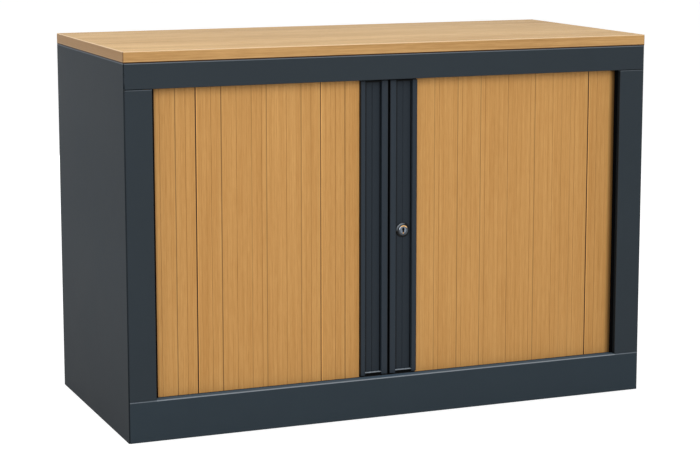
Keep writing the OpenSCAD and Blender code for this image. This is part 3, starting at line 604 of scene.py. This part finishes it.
class CUPBOARD_OT_curtains(Operator):
    """Gives the laths of both curtains their oak film and joints"""

    bl_idname = "cupboard.curtains"
    bl_label = "Curtains"

    def execute(self, context):
        wood = context.scene.cupboard_wood
        grain = group_named("Oak Grain", oak_group)
        for side in SIDES:
            film = finish("oak_curtain_" + side, grain, film_values(wood.light, wood.dark),
                          wood.roughness, specular=0.2, depth=0.00005,
                          tint=joint_lines(side, wood.joint[:]))
            laths = [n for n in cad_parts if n.startswith(side + "_lath_")]
            if not laths:
                raise RuntimeError("the frame has no laths on the " + side)
            coat_nodes(laths, film)
        return {"FINISHED"}


# Height of the fold that catches the light along the rail and along the plinth's ledge
FOLD = 0.0017
# Depth of the ledge's upper face that has its painted pale tone, which stands in for light on that
# face, and the softness of its mask
LEDGE_FACE = (0.0003, 0.0002)
# Width of the painted shade line down a side panel's front edge
SIDE_LINE = 0.0024
# Depth of a post's front, behind which its turned-in edge has painted shade
POST_FRONT = 0.0018
# Height of the lit upper edge of a post
POST_EDGE = 0.0012
# Middle and height of the strip over which a side panel has painted shade, darker towards the
# floor
SIDE_FOOT = (0.15, 0.3)


class CUPBOARD_OT_steel_body(Operator):
    """Powder-coats the folded steel of the body"""

    bl_idname = "cupboard.steel_body"
    bl_label = "Steel Body"

    def execute(self, context):
        steel = context.scene.cupboard_steel
        coat = group_named("Powder Coat", coat_group)
        front_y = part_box("plinth")[0].y
        ledge_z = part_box("plinth")[1].z
        rail_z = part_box("top_rail")[1].z
        post_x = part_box("right_post")[0].x
        post_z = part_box("right_post")[1].z

        # Painted light: the ledge's upper face is paler and bluer, and its front fold has a
        # painted highlight, fainter under the posts.
        def ledge(tree, place, colour):
            height = along(tree, place, 2)
            top = above(tree, height, ledge_z - LEDGE_FACE[0], LEDGE_FACE[1])
            near = below(tree, along(tree, place, 1), front_y + FOLD, 0.001)
            fold = times(tree, above(tree, height, ledge_z - FOLD), near)
            under = above(tree, aside(tree, place, 0), post_x, 0.0005)
            fold = times(tree, fold, inverse(tree, times(tree, under, 0.45)))
            colour = blend(tree, top, colour, srgb(100, 122, 142), 0.5)
            return blend(tree, fold, colour, steel.edge[:])

        def rim(tree, place, colour):
            top = above(tree, along(tree, place, 2), rail_z - FOLD, 0.0006)
            return blend(tree, top, colour, steel.edge[:], 0.5)

        # Painted highlight on a post's upper edge and painted shade on its turned-in edge.
        def returned(tree, place, colour):
            inner = above(tree, along(tree, place, 1), front_y + POST_FRONT, 0.0006)
            top = above(tree, along(tree, place, 2), post_z - POST_EDGE)
            colour = blend(tree, top, colour, steel.edge[:], 0.3)
            return shade(tree, inner, colour, 0.4)

        # Painted shade down a side panel's front edge and towards its foot, and a painted
        # highlight along its top fold.
        def corner(tree, place, colour):
            near = below(tree, along(tree, place, 1), front_y + SIDE_LINE)
            colour = blend(tree, near, colour, steel.seam[:], 0.4)
            foot = below(tree, along(tree, place, 2), *SIDE_FOOT)
            return rim(tree, place, shade(tree, foot, colour, 0.7))

        def coated(name, nodes, colour, mottle, tint=None, specular=0.12):
            coat_nodes(nodes, finish(
                name, coat, {"Color": colour[:], "Mottle": mottle}, steel.roughness,
                specular=specular, depth=steel.peel, tint=tint))

        coated("coat_front", ["roof_pan", "ceiling_tray", "base_pan", "floor_tray", "back_panel"],
               steel.front, 0.05)
        # Painted sheen: the plinth's coat is a lighter copy of the front's with no specular,
        # standing in for the reflection it leaves out.
        coated("coat_plinth", ["plinth"], lighter(steel.front, 1.5), 0.05, ledge, 0.0)
        coated("coat_rail", ["top_rail"], steel.front, 0.05, rim)
        coated("coat_posts", ["left_post", "right_post"], steel.front, 0.05, returned)
        coated("coat_side", ["left_side_panel", "right_side_panel"], steel.side, 0.12,
               corner, 0.01)
        coated("coat_inside", ["left_lining", "right_lining", "shelf"], steel.front, 0.1)
        return {"FINISHED"}


# Widths of a leading bar's fins, next to the other bar and next to the curtain
INNER_FIN = 0.012
OUTER_FIN = 0.009
# Depth behind a bar's front where its finger pull is in shadow
PULL_DEPTH = 0.0068
# Reach and softness of the shadow along the pull's left wall, then along its right wall
PULL_SHADOWS = ((0.00544, 0.00448), (0.0016, 0.0003))
# Half width and softness of the painted shade line down the middle of the pull
PULL_LINE = (0.0007, 0.0005)
# Width and softness of the painted shade down each side of a bar
BAR_FLANK = (0.0011, 0.0006)
# Heights over a bar's end between which its lower cap's ledge is lit
CAP_LEDGE = (0.00398, 0.0052)
# Length by which the buffer between the bars is shorter at each end
BUFFER_GAP = 0.004


class CUPBOARD_OT_leading_bars(Operator):
    """Finishes the leading bars and lays the buffer between them"""

    bl_idname = "cupboard.leading_bars"
    bl_label = "Leading Bars"

    def execute(self, context):
        steel = context.scene.cupboard_steel
        sizes = context.scene.cupboard_fittings
        coat = group_named("Powder Coat", coat_group)
        # A black rubber buffer whose colour also stands in for the shade in the gap between the
        # bars.
        rubber = finish("rubber_seal", coat, {"Color": srgb(3, 3, 3), "Mottle": 0.1},
                        0.9, specular=0.02, depth=steel.peel)
        for side in SIDES:
            low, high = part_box(side + "_bar")
            bar = finish("coat_bar_" + side, coat, {"Color": steel.bar[:], "Mottle": 0.04},
                         steel.roughness, specular=0.12, depth=steel.peel * 0.6,
                         tint=self.grooves(low, high, side, steel.seam[:]))
            # The caps' near-black colour also stands in for the shade round the bars' ends, and
            # the lower cap's ledge has a painted highlight.
            cap = finish("moulded_cap_" + side, coat, {"Color": srgb(6, 7, 8), "Mottle": 0.05},
                         0.6, specular=0.1, depth=steel.peel,
                         tint=self.ledge(low.z, lighter(steel.edge, 1.6)))
            coat_nodes([side + "_bar"], bar)
            coat_nodes([side + "_bar_caps"], cap)
        self.buffer(*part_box("left_bar"), sizes.seal_radius, rubber)
        return {"FINISHED"}

    def grooves(self, low, high, side, tone):
        """The tint of one bar: painted shadows in its finger pull, and painted shade down its
        flanks.
        """
        fins = (OUTER_FIN, INNER_FIN) if side == "left" else (INNER_FIN, OUTER_FIN)
        left, right = low.x + fins[0], high.x - fins[1]
        middle = (left + right) / 2
        strength = 0.6 if side == "left" else 0.3

        def tint(tree, place, colour):
            across = along(tree, place, 0)
            deep = above(tree, along(tree, place, 1), low.y + PULL_DEPTH, 0.0006)
            first = below(tree, calc(tree, "SUBTRACT", across, left), *PULL_SHADOWS[0])
            last = below(tree, calc(tree, "SUBTRACT", right, across), *PULL_SHADOWS[1])
            line = band(tree, across, middle - PULL_LINE[0], middle + PULL_LINE[0], PULL_LINE[1])
            mask = 0.22
            for part, dark in ((first, 1.0), (last, 0.85), (line, strength)):
                mask = calc(tree, "MAXIMUM", mask, times(tree, part, dark))
            near = calc(tree, "MINIMUM", calc(tree, "SUBTRACT", across, low.x),
                        calc(tree, "SUBTRACT", high.x, across))
            flank = below(tree, near, *BAR_FLANK)
            mask = calc(tree, "MAXIMUM", times(tree, mask, deep), flank)
            return blend(tree, mask, colour, tone)

        return tint

    def ledge(self, bar_end, tone):
        """The tint of a bar's caps: the lower one's ledge is lit."""
        def tint(tree, place, colour):
            height = calc(tree, "SUBTRACT", along(tree, place, 2), bar_end)
            return blend(tree, band(tree, height, *CAP_LEDGE, 0.0003), colour, tone)

        return tint

    def buffer(self, low, high, radius, rubber):
        """A round buffer down the left bar's inner side."""
        mesh = bmesh.new()
        bmesh.ops.create_circle(mesh, cap_ends=True, segments=20, radius=radius)
        foot = (high.x + radius * 0.9, (low.y + high.y) / 2, low.z + BUFFER_GAP)
        bmesh.ops.translate(mesh, vec=foot, verts=mesh.verts)
        grown = bmesh.ops.extrude_face_region(mesh, geom=mesh.faces[:])
        tops = [v for v in grown["geom"] if isinstance(v, bmesh.types.BMVert)]
        bmesh.ops.translate(mesh, vec=(0, 0, high.z - low.z - 2 * BUFFER_GAP), verts=tops)
        bmesh.ops.recalc_face_normals(mesh, faces=mesh.faces)
        for face in mesh.faces:
            face.smooth = len(face.verts) == 4
        new_piece("meeting_seal", mesh, "left_leading_bar", [rubber])


# Skin of a post's trim outside the post's edge, and its gap at both ends
TRIM_SKIN = 0.0006
# How far the trim's clip reaches over the post's edge, across and to the front
TRIM_CLIP = (0.0016, 0.0024)
# How far the clip stands behind the post
TRIM_BACK = 0.0007


def trim_strip(mesh, across, deep, upright, rounding):
    """Adds an upright strip with rounded long edges between pairs of coordinates."""
    low, high = (Vector(corner) for corner in zip(sorted(across), deep, upright))
    made = block(mesh, low, high)
    own = {e for v in made for e in v.link_edges}
    round_off(mesh, [e for e in upright_edges(mesh) if e in own], rounding, 3)


class CUPBOARD_OT_post_trims(Operator):
    """Clips a black trim with a lip on each post's turned-in edge"""

    bl_idname = "cupboard.post_trims"
    bl_label = "Post Trims"

    def execute(self, context):
        sizes = context.scene.cupboard_fittings
        coat = group_named("Powder Coat", coat_group)
        # Black rubber trims whose colour also stands in for the shade in the gap between each post
        # and its curtain.
        rubber = finish("rubber_trim", coat, {"Color": srgb(4, 4, 5), "Mottle": 0.1},
                        0.85, specular=0.03, depth=0.00003)
        low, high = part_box("right_post")
        upright = (low.z + TRIM_SKIN, high.z - TRIM_SKIN)
        back = high.y + TRIM_SKIN
        for side, sign in (("left", -1), ("right", 1)):
            edge = sign * low.x
            skin = edge - sign * TRIM_SKIN
            mesh = bmesh.new()
            trim_strip(mesh, (skin, edge + sign * TRIM_CLIP[0]),
                       (high.y - TRIM_CLIP[1], high.y + TRIM_BACK), upright, 0.0004)
            trim_strip(mesh, (edge - sign * sizes.lip_reach, edge + sign * TRIM_SKIN),
                       (back - sizes.lip_thickness, back), upright, 0.0006)
            new_piece(side + "_post_trim", mesh, "carcass", [rubber])
        return {"FINISHED"}


# Inner and outer radius of the ring with painted glints, on the bezel, and with a painted
# highlight, on the collar
BEZEL_RING = (0.0066, 0.0086)
COLLAR_RING = (0.0098, 0.0126)
# Radius over which the plug's rim has painted shade
PLUG_RIM = 0.0060
# The keyway's round entry, painted dark as shade: its height over the lock's axis, radius and
# softness
KEY_ENTRY = (0.0016, 0.0024, 0.0005)
# Half width and half length of the keyway's slot, painted dark as shade
KEY_SLOT = (0.0016, 0.0046)
# The worn spot under the keyway: its height over the axis, radius and softness
KEY_WEAR = (-0.0052, 0.0009, 0.0005)


class CUPBOARD_OT_lock(Operator):
    """Finishes the lock's collar, bezel, plug, nut and hook"""

    bl_idname = "cupboard.lock"
    bl_label = "Lock"

    def execute(self, context):
        steel = context.scene.cupboard_steel
        coat = group_named("Powder Coat", coat_group)
        brushed = group_named("Brushed Metal", brushed_group)
        low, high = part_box("lock_collar")
        centre = (low + high) / 2

        def reach_from(tree, place, rise=0.0):
            """Vector to a place from a point over the lock's axis, and its length."""
            off = put(tree, "ShaderNodeVectorMath", {0: place, 1: (centre.x, 0, centre.z + rise)},
                      operation="SUBTRACT").outputs[0]
            flat = scaled(tree, off, (1, 0, 1))
            length = put(tree, "ShaderNodeVectorMath", {0: flat}, operation="LENGTH")
            return flat, length.outputs["Value"]

        def facing(tree, flat, towards, level, soft):
            """1 where the way from the axis is turned to a direction by more than a level."""
            way = put(tree, "ShaderNodeVectorMath", {0: flat}, operation="NORMALIZE").outputs[0]
            turn = put(tree, "ShaderNodeVectorMath", {0: way, 1: towards},
                       operation="DOT_PRODUCT").outputs["Value"]
            return above(tree, turn, level, soft)

        def spot(tree, place, rise, radius, soft):
            """1 within a radius of a point over the lock's axis."""
            return below(tree, reach_from(tree, place, rise)[1], radius, soft)

        # Painted light on the plug's lower right, and painted shade in the keyway and round the
        # plug's rim.
        def keyhole(tree, place, colour):
            flat, reach = reach_from(tree, place)
            lit = facing(tree, flat, (0.8, 0, -0.6), -0.3, 1.2)
            colour = shade(tree, times(tree, lit, 0.5), colour, 1.5)
            across = calc(tree, "ABSOLUTE",
                          calc(tree, "SUBTRACT", along(tree, place, 0), centre.x))
            slot = times(tree, below(tree, across, KEY_SLOT[0]), below(tree, reach, KEY_SLOT[1]))
            dark = calc(tree, "MAXIMUM", spot(tree, place, *KEY_ENTRY), slot)
            rim = above(tree, reach, PLUG_RIM, 0.0006)
            dark = calc(tree, "MAXIMUM", dark, times(tree, rim, 0.6))
            colour = blend(tree, dark, colour, srgb(8, 8, 9))
            return blend(tree, spot(tree, place, *KEY_WEAR), colour, srgb(232, 170, 96))

        # Painted glints: a warm arc at the top of the bezel's ring and a pale one at its upper
        # left.
        def painted_bezel_glints(tree, place, colour):
            flat, reach = reach_from(tree, place)
            ring = band(tree, reach, *BEZEL_RING, 0.0005)
            warm_glint = facing(tree, flat, (0.1, 0, 1), 0.66, 0.3)
            glint = facing(tree, flat, (-0.85, 0, 0.5), 0.93, 0.12)
            colour = blend(tree, times(tree, ring, warm_glint), colour, srgb(240, 190, 124))
            return blend(tree, times(tree, ring, glint), colour, srgb(196, 208, 222))

        # Painted highlight: a pale arc at the collar's upper left.
        def painted_collar_highlight(tree, place, colour):
            flat, reach = reach_from(tree, place)
            ring = band(tree, reach, *COLLAR_RING, 0.001)
            arc = times(tree, ring, facing(tree, flat, (-0.6, 0, 0.8), 0.7, 0.5))
            return blend(tree, arc, colour, srgb(134, 142, 150), 0.85)

        bezel = finish("nickel_bezel", brushed, {"Color": srgb(72, 76, 80)}, 0.3,
                       metallic=1.0, depth=0.00001, tint=painted_bezel_glints)
        plug = finish("nickel_plug", brushed, {"Color": srgb(104, 112, 122)}, 0.36,
                      metallic=1.0, depth=0.00001, tint=keyhole)
        collar = finish("moulded_collar", coat, {"Color": srgb(10, 11, 12), "Mottle": 0.05},
                        0.4, specular=0.2, depth=steel.peel * 0.3, tint=painted_collar_highlight)
        zinc = finish("zinc_plating", brushed, {"Color": srgb(188, 190, 192)}, 0.36,
                      metallic=1.0, depth=0.00001)
        coat_nodes(["lock_body"], bezel)
        coat_nodes(["lock_plug"], plug)
        coat_nodes(["lock_collar"], collar)
        coat_nodes(["lock_nut", "lock_hook", "keeper_pin"], zinc)
        return {"FINISHED"}


# Number of rivets up each side of the back panel, and the height of the lowest
RIVET_ROWS = 7
RIVET_FOOT = 0.055
# Distance of the top rivets from the panel's upper edge, and of each side's from its lining
RIVET_HEAD = 0.007
RIVET_INSET = 0.006
# Distance from rivet to rivet along the panel's lower and upper edges
RIVET_PITCH = 0.12


class CUPBOARD_OT_fittings(Operator):
    """Finishes tracks, feet, clips and screws, and rivets the back panel"""

    bl_idname = "cupboard.fittings"
    bl_label = "Fittings"

    def execute(self, context):
        sizes = context.scene.cupboard_fittings
        coat = group_named("Powder Coat", coat_group)
        brushed = group_named("Brushed Metal", brushed_group)
        plastic = finish("moulded_plastic", coat, {"Color": srgb(30, 32, 34), "Mottle": 0.08},
                         0.55, specular=0.4, depth=0.00003)
        plating = finish("zinc_fittings", brushed, {"Color": srgb(176, 180, 184)}, 0.4,
                         metallic=1.0, depth=0.00001)
        coat_nodes([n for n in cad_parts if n.endswith("_track") or n.startswith("foot_")],
                   plastic)
        coat_nodes(["track_stops", "access_caps"], plastic)
        coat_nodes(["top_screws", "foot_brackets", "shelf_clips"], plating)

        low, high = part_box("back_panel")
        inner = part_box("right_lining")[1].x - RIVET_INSET
        climb = (high.z - low.z - RIVET_FOOT - RIVET_HEAD) / (RIVET_ROWS - 1)
        rows = [low.z + RIVET_FOOT + i * climb for i in range(RIVET_ROWS)]
        spots = [(side * inner, z) for side in (-1, 1) for z in rows]
        spots += [(x * RIVET_PITCH, z) for x in range(-3, 4) for z in (rows[0], rows[-1])]
        mesh = bmesh.new()
        for x, z in spots:
            rivet_head(mesh, Vector((x, high.y, z)), sizes.rivet_radius, sizes.rivet_height)
        bmesh.ops.recalc_face_normals(mesh, faces=mesh.faces)
        new_piece("back_rivets", mesh, "carcass", [plating])
        return {"FINISHED"}


# A rivet head's outline from its axis to its foot, in parts of its radius and height
RIVET_OUTLINE = (
    (0.0, 0.35), (0.22, 0.35), (0.3, 1.0), (0.62, 0.92), (0.88, 0.6), (1.0, 0.0),
    (1.0, -0.1), (0.0, -0.1),
)


def rivet_head(mesh, place, radius, height):
    """Adds a blind rivet's domed head with its hollow stem, facing +Y."""
    verts = [mesh.verts.new(place + Vector((r * radius, h * height, 0))) for r, h in RIVET_OUTLINE]
    edges = [mesh.edges.new(pair) for pair in zip(verts, verts[1:])]
    bmesh.ops.spin(mesh, geom=verts + edges, cent=place, axis=(0, 1, 0), dvec=(0, 0, 0),
                   angle=math.radians(360), steps=16, use_merge=True, use_duplicate=False)
    bmesh.ops.remove_doubles(mesh, verts=mesh.verts, dist=0.00001)
    for face in mesh.faces:
        face.smooth = True


# The camera's lens in millimetres, the shift of its picture, its place and its aim in degrees
LENS = 102.38
LENS_SHIFT = -0.06
CAMERA_PLACE = (-1.4057, -3.4330, 0.9540)
CAMERA_DOWN, CAMERA_TURN = 8.830, -22.287
# Each lamp's name, its power's setting, its place and its width and height
LAMPS = (
    ("key_light", "key_power", (-0.7, -3.9, 2.3), (2.6, 2.6)),
    ("top_light", "top_power", (-0.7, 0.5, 3.6), (2.6, 2.6)),
    ("left_fill", "fill_power", (-3.4, -0.2, 0.33), (2.6, 0.6)),
    ("right_fill", "fill_power", (3.4, -0.2, 0.33), (2.6, 0.6)),
    ("back_fill", "fill_power", (0.5, 3.4, 0.33), (2.6, 0.6)),
)
# The point that the lamps face
LAMP_AIM = Vector((0, 0, 0.35))
# Size of the floor, and its distance under the cupboard
FLOOR_SIZE = 14
FLOOR_DROP = 0.0004


class CUPBOARD_OT_stage(Operator):
    """Sets the camera, the studio lights and the pale floor"""

    bl_idname = "cupboard.stage"
    bl_label = "Stage"

    def execute(self, context):
        scene = context.scene
        levels = scene.cupboard_stage
        scene.view_settings.view_transform = "Standard"

        lens = bpy.data.cameras.new("photo_camera")
        lens.lens = LENS
        lens.sensor_width = 36
        lens.shift_y = LENS_SHIFT
        lens.clip_start, lens.clip_end = 0.05, 100
        camera = bpy.data.objects.new("photo_camera", lens)
        camera.location = CAMERA_PLACE
        camera.rotation_euler = (math.radians(90 - CAMERA_DOWN), 0, math.radians(CAMERA_TURN))
        scene.collection.objects.link(camera)
        scene.camera = camera

        for name, setting, place, size in LAMPS:
            self.lamp(scene, name, place, size, getattr(levels, setting))
        self.room(scene, levels.sky)
        self.floor(scene, levels.floor[:], levels.glow)
        return {"FINISHED"}

    def lamp(self, scene, name, place, size, power):
        """A soft light, so wide and so high, that faces the cupboard."""
        light = bpy.data.lights.new(name, "AREA")
        light.shape = "RECTANGLE"
        light.size, light.size_y = size
        light.energy = power
        lamp = bpy.data.objects.new(name, light)
        lamp.location = place
        lamp.rotation_euler = (LAMP_AIM - lamp.location).to_track_quat("-Z", "Y").to_euler()
        scene.collection.objects.link(lamp)

    def seen(self, tree):
        """1 for the rays that see the background: camera, glossy and transmission."""
        path = put(tree, "ShaderNodeLightPath").outputs
        first = calc(tree, "MAXIMUM", path["Is Camera Ray"], path["Is Glossy Ray"])
        return calc(tree, "MAXIMUM", first, path["Is Transmission Ray"])

    def room(self, scene, level):
        """An even room that is seen as white."""
        world = bpy.data.worlds.new("studio")
        scene.world = world
        world.use_nodes = True
        tree = world.node_tree
        tree.nodes.clear()
        even = put(tree, "ShaderNodeBackground", {"Color": (1, 1, 1, 1), "Strength": level})
        white = put(tree, "ShaderNodeBackground", {"Color": (1, 1, 1, 1), "Strength": 1.0})
        mix = put(tree, "ShaderNodeMixShader",
                  {0: self.seen(tree), 1: even.outputs[0], 2: white.outputs[0]})
        end = put(tree, "ShaderNodeOutputWorld")
        tree.links.new(mix.outputs[0], end.inputs[0])

    def floor(self, scene, colour, level):
        """A pale floor that keeps the cupboard's shadow."""
        material = bpy.data.materials.new("pale_floor")
        material.use_nodes = True
        tree = material.node_tree
        tree.nodes.clear()
        matt = put(tree, "ShaderNodeBsdfDiffuse", {"Color": (*colour, 1)})
        glow = put(tree, "ShaderNodeEmission", {
            "Color": (1, 1, 1, 1),
            "Strength": times(tree, self.seen(tree), level)})
        both = put(tree, "ShaderNodeAddShader", {0: matt.outputs[0], 1: glow.outputs[0]})
        end = put(tree, "ShaderNodeOutputMaterial")
        tree.links.new(both.outputs[0], end.inputs["Surface"])
        mesh = bmesh.new()
        bmesh.ops.create_grid(mesh, x_segments=1, y_segments=1, size=FLOOR_SIZE)
        bmesh.ops.translate(mesh, vec=(0, 0, -FLOOR_DROP), verts=mesh.verts)
        data = bpy.data.meshes.new("floor")
        mesh.to_mesh(data)
        mesh.free()
        data.materials.append(material)
        ground = bpy.data.objects.new("floor", data)
        scene.collection.objects.link(ground)


OPERATORS = (
    CUPBOARD_OT_stage,
    CUPBOARD_OT_wooden_top,
    CUPBOARD_OT_curtains,
    CUPBOARD_OT_steel_body,
    CUPBOARD_OT_leading_bars,
    CUPBOARD_OT_post_trims,
    CUPBOARD_OT_lock,
    CUPBOARD_OT_fittings,
)


class CUPBOARD_PT_sidebar(Panel):
    """Lists the settings and the operators of the cupboard"""

    bl_idname = "CUPBOARD_PT_sidebar"
    bl_label = "Tambour Cupboard"
    bl_space_type = "VIEW_3D"
    bl_region_type = "UI"
    bl_category = "Cupboard"

    def draw(self, context):
        layout = self.layout
        layout.use_property_split = True
        for name in SETTINGS:
            settings = getattr(context.scene, name)
            box = layout.box()
            box.label(text=type(settings).__doc__)
            for label in settings.bl_rna.properties.keys():
                if label not in ("rna_type", "name"):
                    box.prop(settings, label)
        for operator in OPERATORS:
            layout.operator(operator.bl_idname)


SETTINGS = {
    "cupboard_wood": CupboardWood,
    "cupboard_steel": CupboardSteel,
    "cupboard_top": CupboardTop,
    "cupboard_fittings": CupboardFittings,
    "cupboard_stage": CupboardStage,
}
CLASSES = (*SETTINGS.values(), *OPERATORS, CUPBOARD_PT_sidebar)


def register():
    """Registers the classes and hangs the settings on the scene."""
    for cls in CLASSES:
        bpy.utils.register_class(cls)
    for name, group in SETTINGS.items():
        setattr(bpy.types.Scene, name, PointerProperty(type=group))


def unregister():
    """Takes the settings and the classes away again."""
    for name in SETTINGS:
        delattr(bpy.types.Scene, name)
    for cls in reversed(CLASSES):
        bpy.utils.unregister_class(cls)


def main():
    """Finishes the whole cupboard."""
    register()
    bpy.ops.cupboard.stage()
    bpy.ops.cupboard.wooden_top()
    bpy.ops.cupboard.curtains()
    bpy.ops.cupboard.steel_body()
    bpy.ops.cupboard.leading_bars()
    bpy.ops.cupboard.post_trims()
    bpy.ops.cupboard.lock()
    bpy.ops.cupboard.fittings()


if __name__ == "__main__":
    main()
